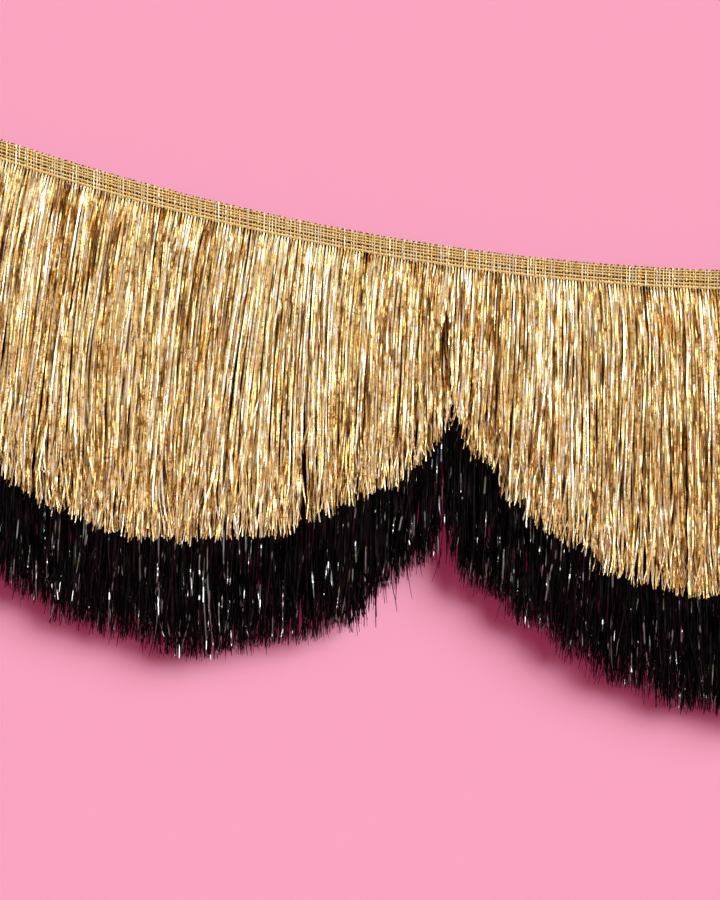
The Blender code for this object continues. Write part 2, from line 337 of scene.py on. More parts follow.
def makeFoilStreaks():
    # lacquered film: each strand's own depth of colour, with painted highlights and painted dark
    # reflections along it
    group, given, result = nodeGroup(
        "foilStreaks", ("Strand", "Along", "Stretch", "Deep", "Middle", "Pale"),
        ("Colour", "Roughness", "Height", "Gloss"),
    )
    strand, along, stretch, deep, middle, pale = list(given.outputs)[:6]
    place = group.nodes.new("ShaderNodeCombineXYZ")
    group.links.new(addMath(group, "MULTIPLY", strand, streaks["apart"]), place.inputs["X"])
    group.links.new(addMath(group, "MULTIPLY", along, stretch), place.inputs["Y"])
    slow = addNoise(group, place.outputs[0], *streaks["slow"])
    quick = addNoise(group, place.outputs[0], *streaks["quick"])
    toneAndSheen = addMath(group, "ADD", slow, addMath(group, "MULTIPLY", strand, streaks["strandShare"]))
    level = addMath(group, "ADD", toneAndSheen, addMath(group, "MULTIPLY", quick, streaks["quickShare"]))
    dark = addMix(group, addRange(group, level, streaks["dark"]), deep, middle)
    colour = addMix(group, addRange(group, level, streaks["pale"]), dark, pale)
    rough = addRange(group, quick, streaks["roughFrom"], streaks["rough"])
    gloss = addRange(group, toneAndSheen, streaks["gloss"])
    for socket, value in zip(result.inputs, (colour, rough, quick, gloss)):
        group.links.new(value, socket)
    return group


twist = {
    "fuzz": (3500.0, 3.0), "rubbed": (160.0, 3.0),  # scale and detail
    "waveShare": 0.35, "rubbedShare": 0.7, "shade": (0.35, 1.15),
    "roughFrom": (0.3, 0.7), "rough": (0.62, 0.42), "specular": 0.03,
}


def makeThreadTwist():
    # spun yarn: fine slanting plies along the yarn, fuzz, and patches where it has rubbed
    # the colour runs from Valley, painted shade in the grooves between plies, to Crown, a painted
    # highlight on their tops
    group, given, result = nodeGroup(
        "threadTwist", ("Scale", "Slant", "Valley", "Crown"), ("Colour", "Roughness", "Height"),
    )
    scale, slant, valley, crown = list(given.outputs)[:4]
    where = group.nodes.new("ShaderNodeTexCoord").outputs["Object"]
    split = group.nodes.new("ShaderNodeSeparateXYZ")
    group.links.new(where, split.inputs[0])
    leaned = addMath(group, "MULTIPLY", split.outputs["Z"], slant)
    ply = addMath(group, "ADD", split.outputs["X"], leaned)
    wave = addMath(group, "SINE", addMath(group, "MULTIPLY", ply, scale))
    fuzz = addNoise(group, where, *twist["fuzz"])
    rubbed = addNoise(group, where, *twist["rubbed"])
    height = addMath(group, "ADD", addMath(group, "MULTIPLY", wave, twist["waveShare"]), fuzz)
    patches = addMath(group, "MULTIPLY", rubbed, twist["rubbedShare"])
    shade = addRange(group, addMath(group, "ADD", height, patches), twist["shade"])
    rough = addRange(group, rubbed, twist["roughFrom"], twist["rough"])
    for socket, value in zip(result.inputs, (addMix(group, shade, valley, crown), rough, height)):
        group.links.new(value, socket)
    return group


foilStreaks = makeFoilStreaks()
threadTwist = makeThreadTwist()


def newMaterial(name, metallic, specular):
    material = bpy.data.materials.new(name)
    material.use_nodes = True
    shader = material.node_tree.nodes["Principled BSDF"]
    shader.inputs["Metallic"].default_value = metallic
    shader.inputs["Specular IOR Level"].default_value = specular
    return material, material.node_tree, shader


def dress(tree, shader, group, values, look, colours):
    node = tree.nodes.new("ShaderNodeGroup")
    node.node_tree = group
    for label, value in values.items():
        feed(tree, node.inputs[label], value)
    for label in colours:
        node.inputs[label].default_value = (*look[label], 1)
    tree.links.new(node.outputs["Colour"], shader.inputs["Base Color"])
    tree.links.new(node.outputs["Roughness"], shader.inputs["Roughness"])
    relief = tree.nodes.new("ShaderNodeBump")
    relief.inputs["Strength"].default_value = 1.0
    relief.inputs["Distance"].default_value = look["bump"]
    tree.links.new(node.outputs["Height"], relief.inputs["Height"])
    tree.links.new(relief.outputs[0], shader.inputs["Normal"])
    return node


def foilMaterial(name, look):
    material, tree, shader = newMaterial(name, look["metallic"], look["specular"])
    values = {
        "Strand": attribute(tree, "strand"),
        "Along": attribute(tree, "along"),
        "Stretch": look["stretch"],
    }
    node = dress(tree, shader, foilStreaks, values, look, ("Deep", "Middle", "Pale"))
    if "lacquer" in look:  # the clear lacquer has worn off in places
        tree.links.new(node.outputs["Gloss"], shader.inputs["Coat Weight"])
        for label, value in zip(("Coat Roughness", "Coat IOR"), look["lacquer"]):
            shader.inputs[label].default_value = value
    return material


def threadMaterial(name, look):
    material, tree, shader = newMaterial(name, look["metallic"], twist["specular"])
    values = {"Scale": look["scale"], "Slant": look["slant"]}
    dress(tree, shader, threadTwist, values, look, ("Valley", "Crown"))
    return material


# Along each foil strand and weft the colour runs from Deep through Middle to Pale: Pale stretches
# are painted highlights, Deep ones painted dark reflections, over a tone that differs at random
# between strands.
goldFoil = foilMaterial("goldFoil", {
    "metallic": 1.0, "specular": 0.5, "stretch": 90.0, "bump": 0.00028,
    "Deep": (0.27, 0.100, 0.006), "Middle": (0.86, 0.59, 0.22), "Pale": (1.0, 0.89, 0.66),
})
goldWeft = foilMaterial("goldWeft", {
    "metallic": 0.15, "specular": 0.06, "stretch": 130.0, "bump": 0.00005,
    "Deep": (0.80, 0.44, 0.07), "Middle": (0.98, 0.72, 0.28), "Pale": (1.0, 0.88, 0.60),
})
# The black film's Pale stretches are dark maroon, a painted reflection of the pink wall.
blackFoil = foilMaterial("blackFoil", {
    "metallic": 0.0, "specular": 0.04, "stretch": 21.0, "bump": 0.00010,
    "lacquer": (0.05, 3.0),  # roughness and index
    "Deep": (0.0004, 0.0002, 0.0002), "Middle": (0.0020, 0.0007, 0.0010),
    "Pale": (0.018, 0.0045, 0.008),
})
# Each yarn's Valley colour is painted shade in its grooves, and its Crown a painted highlight on
# its tops.
yarn = {"metallic": 0.10, "scale": 11000.0, "slant": 0.9, "bump": 0.00003}
goldYarn = threadMaterial("goldYarn", dict(
    yarn, Valley=(0.82, 0.48, 0.105), Crown=(1.0, 0.80, 0.35),
))
blackYarn = threadMaterial("blackYarn", dict(
    yarn, Valley=(0.004, 0.002, 0.003), Crown=(0.035, 0.022, 0.024),
))
# dark brown yarn; as the web behind the gold cords it is painted shade in the gaps between them
brownYarnAndGapShade = threadMaterial("brownYarnAndGapShade", dict(
    yarn, Valley=(0.035, 0.013, 0.002), Crown=(0.24, 0.100, 0.012),
))
brownThread = threadMaterial("brownThread", {
    "metallic": 0.0, "scale": 14000.0, "slant": 1.0, "bump": 0.00003,
    "Valley": (0.018, 0.007, 0.002), "Crown": (0.10, 0.042, 0.010),
})
bindingCloth = threadMaterial("bindingCloth", {
    "metallic": 0.15, "scale": 3600.0, "slant": 0.0, "bump": 0.00005,
    "Valley": (0.36, 0.20, 0.06), "Crown": (0.80, 0.56, 0.25),
})
print("materials made")


# Strands. Angles are in degrees, depths along Y, and other lengths in metres.

goldStrands = {
    "seed": 5, "perLayer": 300, "rings": 23, "columns": 240,
    "layers": (-0.0022, -0.0031, -0.0041, -0.0052),  # depth of each row where it hangs free
    "root": -0.0016,                                 # depth where the rows leave the tape
    "width": (0.00065, 0.00105), "crease": 0.00008,
    "taperFrom": 0.86, "taper": 0.45,                # a tip narrows by this share
    "bunch": 0.0015, "gather": 0.85,                 # roots are drawn into bunches
    "ragged": 0.0026, "clumps": 0.0016,              # how unevenly strands and tufts are cut
    "common": 1.5, "kink": 5.0, "splay": 4.6,        # shared lean, wavering tips, stray tips
    "facing": 0.62, "spin": (0.22, 40, 130),         # shared turn, and how many twist, how fast
    # cut length from the middle of a scallop (0) to its notch (1)
    "length": ((0, 0.20, 0.30, 0.41, 0.52, 0.62, 0.73, 0.80, 0.84, 0.95, 1),
               (0.1628, 0.1622, 0.1604, 0.1568, 0.1479, 0.1392, 0.1285, 0.1240, 0.1095, 0.1030,
                0.1005)),
    # how much longer an outer scallop is cut, from the banner's end (-1) to its notch (1)
    "outer": ((-1, -0.8, -0.6, -0.45, -0.25, -0.15, 0, 0.15, 0.3, 0.45, 0.55, 0.65, 0.75, 0.85,
               0.95),
              (0, 0.0075, 0.0086, 0.0110, 0.0132, 0.0117, 0.0090, 0.0060, 0.0018, -0.0029,
               -0.0005, -0.0015, -0.0030, 0.0040, -0.0005)),
    # how deep and how wide the cut goes in at a notch, and how far out
    "notch": (0.019, 0.0075, 0.1435), "slit": (0.014, 0.0010, 0.1440),
}
blackStrands = {
    "seed": 17, "perLayer": 610, "rings": 17, "columns": 305,
    "layers": (-0.0009, -0.0003, 0.0004), "root": -0.0004,
    "width": (0.00048, 0.00085), "crease": 0.00006, "taperFrom": 0.90, "taper": 0.60,
    "bunch": 0.0015, "gather": 0.1, "ragged": 0.0048, "clumps": 0.0026,
    "common": 0.8, "kink": 4.2, "splay": 3.6, "facing": 0.40, "spin": (0.5, 25, 70),
    "length": ((0, 0.14, 0.25, 0.36, 0.46, 0.57, 0.68, 0.78, 0.89, 1),
               (0.2240, 0.2232, 0.2190, 0.2145, 0.2080, 0.1985, 0.1872, 0.1785, 0.1692,
                0.1630)),
    "outer": ((-1, -0.5, -0.4, -0.2, 0, 0.15, 0.3, 0.45, 0.55, 0.65, 0.75, 0.85, 0.95),
              (0.002, 0.0104, 0.0070, 0.0042, -0.0002, 0.0029, 0.0044, 0.0036, 0.0040, 0.0060,
               0.0020, -0.0068, -0.0100)),
    "notch": (0.019, 0.0060, 0.1407), "slit": (0.004, 0.0010, 0.1400),
}
blackUnder = dict(  # the rows behind
    blackStrands, seed=29, layers=(0.0011, 0.0018, 0.0025), width=(0.00062, 0.00100),
)

# how far the strands of each stretch lean from the tape's own square
leaning = {
    "x": (-0.42, -0.35, -0.30, -0.235, -0.205, -0.175, -0.145, -0.115, -0.075, -0.025,
          0.05, 0.10, 0.145, 0.205, 0.235, 0.30, 0.35, 0.42),
    "degrees": (5.5, 5.5, 4.0, 2.5, 7, 4.5, 3.5, 2, 2.5, 3,
                0, -2, -3.5, -6, -2.5, -4.0, -5.5, -5.5),
    "down": (0, 0.05, 0.12, 0.20), "share": (1, 0.9, 0.5, -0.2),
    # some lean more, near the tape alone
    "rootX": (-0.25, -0.22, -0.15, -0.13, -0.105, -0.015, 0.02),
    "rootDegrees": (0, -3.5, -3.5, 0, 5, 5, 0), "rootDown": 0.055,
}

# what all strands have alike
hang = {
    "jitter": 0.42,                     # strays of a root, in gaps between two
    "sideGap": 0.0006, "inTape": 0.0007,
    "shortfall": 0.016, "surplus": 0.0015, "tufts": 34,
    "stations": 72,
    "square": 0.93, "plumbAt": 0.205, "past": -0.05,  # they leave square, and droop to plumb
    "commonCell": (0.016, 0.060),
    "bends": 3, "bend": 0.9, "wavers": 16, "waver": 1.6, "tipFrom": 0.62,
    "strays": 0.035, "notchStrays": 0.10, "notchReach": 0.010, "stray": 5.5,
    "gatherDown": 0.014,
    "rowSpread": 0.00035, "rowCell": (0.020, 0.050), "rowWave": 0.0003,
    "sways": 10, "sway": 0.00015, "tipSway": 0.00040, "settle": 0.022,
    "turnCell": (0.0035, 0.045),
    "turns": 6, "turn": 0.55, "quickTurns": 22, "quickTurn": 0.12, "tipTurn": 0.20,
    "narrow": 0.28, "narrowDown": 0.006, "snip": 0.7,
}


def strandLength(look, side, root):
    halfPitch = banner["pitch"] / 2
    place = (root - scallopStart(side) - halfPitch) / halfPitch
    length = np.interp(np.abs(place), *look["length"])
    if side != "centre":
        length += np.interp(place if side == "left" else -place, *look["outer"])
    for deep, wide, out in (look["notch"], look["slit"]):
        length = length - deep * np.exp(-(((np.abs(root) - out) / wide) ** 2))
    return length


def strandPaths(look, side):
    rng = np.random.default_rng(look["seed"] + 100 * banner["sides"].index(side))
    pitch, start = banner["pitch"], scallopStart(side)
    per, count = look["perLayer"], look["perLayer"] * len(look["layers"])
    slots = start + (np.arange(per) + 0.5) / per * pitch
    strays = (rng.uniform(-hang["jitter"], hang["jitter"], per) for _ in look["layers"])
    root = np.concatenate([slots + stray * pitch / per for stray in strays])
    root = np.clip(root, start + hang["sideGap"], start + pitch - hang["sideGap"])
    begin = banner["headerHeight"] - hang["inTape"]
    length = strandLength(look, side, root) - begin
    length -= np.minimum(rng.exponential(look["ragged"], count), hang["shortfall"])
    length += rng.uniform(0, hang["surplus"], count)
    length += drift(rng, 1, hang["tufts"], (root[None] - start) / pitch)[0] * look["clumps"]
    along = np.linspace(0, 1, hang["stations"])[None, :]
    s = along * length[:, None]  # distance from the root
    rootX = root[:, None] + 0 * s
    tip = smoothstep((along - hang["tipFrom"]) / (1 - hang["tipFrom"]))

    lean = np.degrees(np.arctan(swagSlope(root)))[:, None] * hang["square"]
    lean = lean * np.clip(1 - s / hang["plumbAt"], hang["past"], 1)
    own = np.interp(root, leaning["x"], leaning["degrees"])[:, None]
    lean += own * np.interp(s, leaning["down"], leaning["share"])
    own = np.interp(root, leaning["rootX"], leaning["rootDegrees"])[:, None]
    lean += own * (1 - smoothstep(s / leaning["rootDown"]))
    lean += field(rng, rootX, s, hang["commonCell"]) * look["common"]
    lean += drift(rng, count, hang["bends"], along) * hang["bend"]
    lean += rng.normal(0, look["splay"], (count, 1)) * tip
    lean += drift(rng, count, hang["wavers"], along) * (hang["waver"] + look["kink"] * tip)
    nearNotch = np.exp(-(((np.abs(root) - pitch / 2) / hang["notchReach"]) ** 2))[:, None]
    stray = rng.random((count, 1)) < hang["strays"] + hang["notchStrays"] * nearNotch
    lean += stray * rng.normal(0, hang["stray"], (count, 1)) * smoothstep(along * 2)
    lean = np.radians(lean)

    step = s[:, 1:2] - s[:, :1]
    gather = np.round(root / look["bunch"]) * look["bunch"] - root
    gather = look["gather"] * gather[:, None] * (1 - smoothstep(s / hang["gatherDown"]))
    x = rootX + gather + np.cumsum(np.sin(lean) * step, axis=1) - np.sin(lean[:, :1]) * step
    fall = np.cumsum(np.cos(lean) * step, axis=1) - np.cos(lean[:, :1]) * step
    z = belowTop(root, begin)[:, None] - fall
    depth = np.repeat(look["layers"], per)[:, None]
    depth = depth + rng.normal(0, hang["rowSpread"], (count, 1))
    depth = depth + field(rng, rootX, s, hang["rowCell"]) * hang["rowWave"]
    depth += drift(rng, count, hang["sways"], along) * (hang["sway"] + hang["tipSway"] * tip)
    y = look["root"] + (depth - look["root"]) * (1 - np.exp(-s / hang["settle"]))

    # neighbours share slow turns, and each adds its own
    turn = field(rng, rootX, s, hang["turnCell"]) * look["facing"]
    turn += drift(rng, count, hang["turns"], along) * hang["turn"]
    quick = drift(rng, count, hang["quickTurns"], along)
    turn += quick * (hang["quickTurn"] + hang["tipTurn"] * tip)
    share, slow, fast = look["spin"]
    spin = rng.random((count, 1)) < share
    turn += spin * s * rng.uniform(slow, fast, (count, 1)) * rng.choice([-1, 1], (count, 1))
    width = rng.uniform(*look["width"], (count, 1))
    width = width * (1 - hang["narrow"] * (1 - smoothstep(s / hang["narrowDown"])))
    taper = smoothstep((along - look["taperFrom"]) / (1 - look["taperFrom"]))
    width = width * (1 - look["taper"] * taper)
    cut = rng.uniform(-hang["snip"], hang["snip"], count) * width[:, -1]
    points = np.stack([x, y, z], axis=-1)
    return {
        "s": s, "points": points, "tangent": np.gradient(points, axis=1), "turn": turn,
        "width": width, "cut": cut, "strand": rng.random(count),
    }


def resample(paths, wanted):
    # the same strands at other distances from their roots
    s = paths["s"]
    place = np.clip(wanted / s[:, 1:2], 0, s.shape[1] - 1.0001)
    low = place.astype(int)
    share = place - low
    row = np.arange(len(s))[:, None]
    mixed = {}
    for key in ("points", "tangent", "turn", "width"):
        values = paths[key]
        part = share[..., None] if values.ndim == 3 else share
        mixed[key] = values[row, low] * (1 - part) + values[row, low + 1] * part
    return mixed


def strandPiece(name, paths, wanted, look, material, tipped):
    mixed = resample(paths, wanted)
    shape = ribbons(mixed["points"], mixed["turn"], mixed["width"], look["crease"],
                    paths["cut"] if tipped else None, mixed["tangent"])
    return ribbonPiece(name, shape, material, paths["strand"], wanted, look["columns"])


def spread(start, end, rings, crowd=0.0):
    # crowd sets the rings closer together near both ends
    even = np.linspace(0, 1, rings)[None, :]
    place = even - crowd * np.sin(2 * math.pi * even) / (2 * math.pi)
    return start[:, None] + (end - start)[:, None] * place


# below the swing line: where the strands' bends start, change over and end; here only the
# change-over is used, to cut the gold strands in two
lift = {
    "start": 0.0084, "meet": 0.0148, "end": 0.0275, "blackEnd": 0.020,
    "overlap": 0.0004, "rootRings": 5, "crowd": 0.45,
}


def bendStrands(piece):
    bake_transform(piece)


def hangGold(side):
    # two pieces, the roots and the free strands, cut at the change-over below the swing line
    paths = strandPaths(goldStrands, side)
    middle, down = chordPlane(side)
    below = (paths["points"] - middle) @ down
    total = paths["s"][:, -1]
    meet = np.array([np.interp(lift["meet"], row, s) for row, s in zip(below, paths["s"])])
    lap = lift["overlap"]
    upper = spread(0 * meet, meet + lap, lift["rootRings"])
    roots = strandPiece("goldRoots_" + side, paths, upper, goldStrands, goldFoil,
                        False)
    bendStrands(roots)
    lower = spread(meet, total, goldStrands["rings"], lift["crowd"])
    free = strandPiece("goldStrands_" + side, paths, lower, goldStrands, goldFoil,
                       True)
    bendStrands(free)
    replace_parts(free, "gold_fringe_" + side)


def hangBlack(name, look, side):
    paths = strandPaths(look, side)
    total = paths["s"][:, -1]
    wanted = spread(0 * total, total, look["rings"], lift["crowd"])
    piece = strandPiece(name + side, paths, wanted, look, blackFoil, True)
    bendStrands(piece)
    return piece


for side in banner["sides"]:
    hangGold(side)
    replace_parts(hangBlack("blackStrands_", blackStrands, side), "black_fringe_" + side)
    hangBlack("blackUnder_", blackUnder, side)
print("strands hung")


# Woven tapes

tape = {
    "drops": (0.00072, 0.00217, 0.00363, 0.00509, 0.00693, 0.00876),  # cords, from the top edge
    "tall": (0.00042, 0.00041, 0.00041, 0.00043, 0.00047, 0.00066), "out": 0.00030,
    "crimp": 0.00010, "wander": 0.00008, "wanderEach": 0.012, "wobble": 0.00003, "uneven": 0.05,
    "cordCorners": 8, "short": 0.0006,       # the tapes stop short of the banner's ends
    "webThick": 0.00010, "webShort": 0.0002,
    "weftStep": 0.0015, "weftJitter": 0.2, "weftStray": (0.00006, 0.00012), "weftIn": 0.0004,
    "weftReach": 0.00042, "gapOut": 0.00030, "weftPast": (0.0004, 0.0003), "weftRings": 25,
    "weftTurn": (0.30, 0.10), "weftCrease": 0.00006,
    # the bright wefts lie over some of the cords
    "bright": 0.45, "floatOut": 0.00040, "floatWave": 0.00012, "floatEdge": 0.06,
    "floatMiddle": (0.1, 0.9), "floatReach": (0.15, 0.6),
    # floats are drawn paler, a painted glint where they lie on top, and wefts that dip between the
    # cords darker, painted shade
    "shade": (0.90, 0.55), "shadeSpread": 0.25,
}
goldTape = {
    "name": "gold", "seed": 31, "depth": -0.0017, "webBehind": 0.00025,
    "weftWidth": (0.00048, 0.00075), "yarn": goldYarn, "webYarn": brownYarnAndGapShade, "foil": goldWeft,
    "slots": ("gold_weave", "gold_foil"),
}
blackTape = {
    "name": "black", "seed": 47, "depth": -0.0004, "webBehind": -0.0001,
    "weftWidth": (0.0004, 0.0008), "yarn": blackYarn, "webYarn": blackYarn, "foil": blackFoil,
    "slots": ("black_weave", "black_foil"),
}


def weaveTape(look, side):
    rng = np.random.default_rng(look["seed"] + banner["sides"].index(side))
    start, end = headerStretch(side)
    low = start + (tape["short"] if side == "left" else 0)
    high = end - (tape["short"] if side == "right" else 0)
    drops, depth = np.array(tape["drops"]), look["depth"]
    wefts, cords = int((end - start) / tape["weftStep"]), len(drops)
    number = np.arange(wefts)
    jitter = rng.uniform(-tape["weftJitter"], tape["weftJitter"], wefts)
    weftAt = low + (number + 0.5 + jitter) * (high - low) / wefts

    x = np.linspace(low, high, wefts * 2 + 1)
    under = np.cos(math.pi * (np.interp(x, weftAt, number) + np.arange(cords)[:, None]))
    drop = drops[:, None] + rng.normal(0, tape["wobble"], under.shape)
    wander = drift(rng, cords - 1, int((end - start) / tape["wanderEach"]),
                   (x[None] - low) / (high - low))
    drop[:-1] += wander * tape["wander"]  # the lowest cord runs straight
    path = laid(x, depth + tape["crimp"] * under, drop)
    thick = 1 + rng.normal(0, tape["uneven"], drop.shape)
    tall = np.array(tape["tall"])[:, None] * thick
    shape = tubes(path, tall, tape["out"] * thick, tape["cordCorners"])
    body = newPiece(look["name"] + "Cords_" + side, shape, look["yarn"])

    # a thin web behind the cords closes the gaps; on the gold tape its dark brown is painted shade
    # between the cords
    half = banner["headerHeight"] / 2
    path = laid(x, depth + look["webBehind"], half)[None]
    shape = tubes(path, half - tape["webShort"], tape["webThick"], tape["cordCorners"],
                  plumb=True, power=0.5)
    web = newPiece(look["name"] + "Web_" + side, shape, look["webYarn"])

    # each weft goes over one cord and under the next, and its neighbour the other way round
    above, beyond = tape["weftPast"]
    rows = np.concatenate([[-above], drops, [banner["headerHeight"] + beyond]])
    fine = np.linspace(rows[0], rows[-1], tape["weftRings"])
    even = np.linspace(0, 1, len(fine))
    row = np.interp(fine, rows, np.arange(len(rows)) - 1.0)
    floats = rng.random(wefts) < tape["bright"]
    swing = np.cos(math.pi * (row[None, :] + number[:, None]))
    over = -(swing * tape["weftReach"] + (1 - np.abs(swing)) * tape["gapOut"])
    lying = drift(rng, wefts, 4, even[None, :]) * tape["floatWave"] - tape["floatOut"]
    lying = lying * smoothstep(np.minimum(even, even[::-1]) / tape["floatEdge"])
    middle = rng.uniform(*tape["floatMiddle"], (wefts, 1))
    reach = rng.uniform(*tape["floatReach"], (wefts, 1))
    there = floats[:, None] & (np.abs(even - middle) < reach)
    over = np.where(there, np.minimum(over, lying), over)
    each, whole = tape["weftStray"]
    across = weftAt[:, None] + rng.normal(0, each, over.shape) + rng.normal(0, whole, (wefts, 1))
    across = np.clip(across, low + tape["weftIn"], high - tape["weftIn"])
    path = laid(across, depth + over, fine)
    width = rng.uniform(*look["weftWidth"], (wefts, 1)) * np.ones(len(fine))
    whole, each = tape["weftTurn"]
    turn = rng.normal(0, whole, (wefts, 1)) + rng.normal(0, each, over.shape)
    shape = ribbons(path, turn, width, tape["weftCrease"])
    # paler for floats, a painted glint, and darker where a weft dips between the cords, painted
    # shade
    shade = np.where(floats, *tape["shade"])
    shade = shade + rng.uniform(-tape["shadeSpread"], tape["shadeSpread"], wefts)
    weft = ribbonPiece(look["name"] + "Wefts_" + side, shape, look["foil"],
                       shade, np.tile(fine, (wefts, 1)), wefts)
    return body, web, weft


def rideHeader(piece, side):
    if side == "centre":
        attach(piece, "header_centre")
        return
    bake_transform(piece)


edgeLoops = {
    "seed": 71, "step": 0.0029, "jitter": 0.12, "depth": -0.0017, "drop": 0.00045,
    "sweep": 1.25, "points": 7, "reach": 0.00056, "spare": (-0.00004, 0.00012), "tall": 1.25,
    "slant": 0.00012, "half": (0.00034, 0.00016),
}


def topLoops(side):
    # the weft's little turns round the top cord
    rng = np.random.default_rng(edgeLoops["seed"] + banner["sides"].index(side))
    start, end = headerStretch(side)
    count = int((end - start) / edgeLoops["step"])
    jitter = rng.uniform(-edgeLoops["jitter"], edgeLoops["jitter"], count)
    at = start + (np.arange(count) + 0.5 + jitter) * (end - start) / count
    angle = np.linspace(-edgeLoops["sweep"], edgeLoops["sweep"], edgeLoops["points"])
    reach = edgeLoops["reach"] + rng.uniform(*edgeLoops["spare"], (count, 1))
    out = edgeLoops["depth"] - np.sin(angle) * reach
    drop = edgeLoops["drop"] - np.cos(angle) * reach * edgeLoops["tall"]
    x = at[:, None] + angle * rng.normal(0, edgeLoops["slant"], (count, 1))
    shape = tubes(laid(x, out, drop), *edgeLoops["half"], 6, up=(1.0, 0.0, 0.0))
    return newPiece("topLoops_" + side, shape, brownYarnAndGapShade)


seam = {
    "drop": 0.00600, "endGap": 0.0125, "step": 0.0024, "share": (0.06, 0.94), "points": 6,
    "depth": -0.00188, "dip": 0.00035, "half": (0.00022, 0.00015),
}


def seamStitches(side):
    # lockstitches in the groove, each dipping into the tape at both ends
    mouth = halfSpan - seam["endGap"]
    start, end = np.clip(headerStretch(side), -mouth, mouth)
    count = int((end - start) / seam["step"])
    share = np.linspace(*seam["share"], seam["points"])
    x = start + (np.arange(count)[:, None] + share) * (end - start) / count
    out = seam["depth"] + seam["dip"] * (1 - np.sin(math.pi * share) ** 0.5)
    shape = tubes(laid(x, out, seam["drop"]), *seam["half"], 6)
    return newPiece("seamStitches_" + side, shape, brownThread)


for side in banner["sides"]:
    cords, web, wefts = weaveTape(goldTape, side)
    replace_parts(cords, "gold_header_" + side)
    darkCords, darkWeb, darkWefts = weaveTape(blackTape, side)
    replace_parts(darkCords, "black_header_" + side)
    stitches = seamStitches(side)
    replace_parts(stitches, "seam_thread_" + side)
    for piece in (cords, web, wefts, darkCords, darkWeb, darkWefts, stitches, topLoops(side)):
        rideHeader(piece, side)
print("tapes woven")


# Ends: a ribbed strip folded over the cut tapes, its stitches, and a woven loop to hang it by

binding = {
    "reach": 0.0120, "front": -0.00285, "back": 0.00055, "thick": 0.00025, "endGap": 0.0003,
    "bend": 0.00125, "bendPoints": 15, "flatPoints": 62,
    "rib": 0.00075, "ribShare": 0.16, "past": 0.0002,
}


def bindingStrip(side, way):
    # its path in plan, from the open edge in front round the cut end to the open edge behind
    end = way * halfSpan
    inner = end - way * binding["reach"]
    turnAt = end + way * (binding["endGap"] + binding["thick"] - binding["bend"])
    half = (binding["back"] - binding["front"]) / 2
    angle = np.linspace(-math.pi / 2, math.pi / 2, binding["bendPoints"])
    straight = np.linspace(inner, turnAt, binding["flatPoints"])
    bent = turnAt + way * binding["bend"] * np.cos(angle)
    x = np.concatenate([straight[:-1], bent, straight[::-1][1:]])
    flat = np.ones(binding["flatPoints"] - 1)
    y = np.concatenate([flat * binding["front"], binding["front"] + half + half * np.sin(angle),
                        flat * binding["back"]])
    travel = np.concatenate([[0], np.cumsum(np.hypot(np.diff(x), np.diff(y)))])
    ribs = 1 + binding["ribShare"] * np.sin(2 * math.pi * travel / binding["rib"])
    tall = banner["headerHeight"] / 2
    shape = tubes(laid(x, y, tall)[None], tall + binding["past"], binding["thick"] * ribs, 24,
                  plumb=True, power=0.3)
    return newPiece("bindingStrip_" + side, shape, bindingCloth)


hem = {
    "in": 0.0010, "margin": 0.0006, "count": 5, "share": (0.08, 0.92), "points": 7,
    "bulge": 0.00022, "sunk": 0.00012, "half": (0.00016, 0.00014),
}


def bindingStitches(side, way):
    # running stitches along the open edge, on the front and the back
    inner = way * (halfSpan - binding["reach"] + hem["in"])
    each = (banner["headerHeight"] - 2 * hem["margin"]) / hem["count"]
    share = np.linspace(*hem["share"], hem["points"])
    drop = hem["margin"] + (np.arange(hem["count"])[:, None] + share) * each
    bulge = np.sin(math.pi * share) ** 0.5
    parts = []
    for face, surface in ((-1, binding["front"] - binding["thick"]),
                          (1, binding["back"] + binding["thick"])):
        y = surface + face * (hem["bulge"] * bulge - hem["sunk"])
        parts.append(tubes(laid(inner, y, drop), *hem["half"], 6, up=(1.0, 0.0, 0.0)))
    return newPiece("bindingStitches_" + side, joined(parts), brownThread)


tack = {
    "tall": 0.0065, "wide": 0.0012, "step": 0.00034, "pointsEach": 12, "square": 0.8,
    "out": 0.00030, "dip": 0.00028, "dipPower": 6, "thread": 0.00012,
    "padAt": (-0.00022, 0.00022), "padPoints": 12, "padOut": 0.00006, "padHalf": (0.00020, 0.00012),
}


def barTack(side, way):
    # one thread laid to and fro, over two padding threads
    middle = way * (halfSpan - binding["reach"] / 2)
    surface = binding["front"] - binding["thick"]
    turns = int(tack["tall"] / tack["step"])
    t = np.linspace(0, turns, turns * tack["pointsEach"] + 1)
    top = (banner["headerHeight"] - tack["tall"]) / 2
    swing = np.sin(2 * math.pi * t)
    x = middle + tack["wide"] / 2 * np.sign(swing) * np.abs(swing) ** tack["square"]
    y = surface - tack["out"] + tack["dip"] * np.abs(swing) ** tack["dipPower"]
    path = laid(x, y, top + t / turns * tack["tall"])[None]
    parts = [tubes(path, tack["thread"], tack["thread"], 6, up=(0.0, 1.0, 0.0))]
    drop = np.linspace(top, top + tack["tall"], tack["padPoints"])
    for offset in tack["padAt"]:
        path = laid(middle + offset, surface - tack["padOut"], drop)[None]
        parts.append(tubes(path, *tack["padHalf"], 6, up=(1.0, 0.0, 0.0)))
    return newPiece("barTackThread_" + side, joined(parts), brownThread)


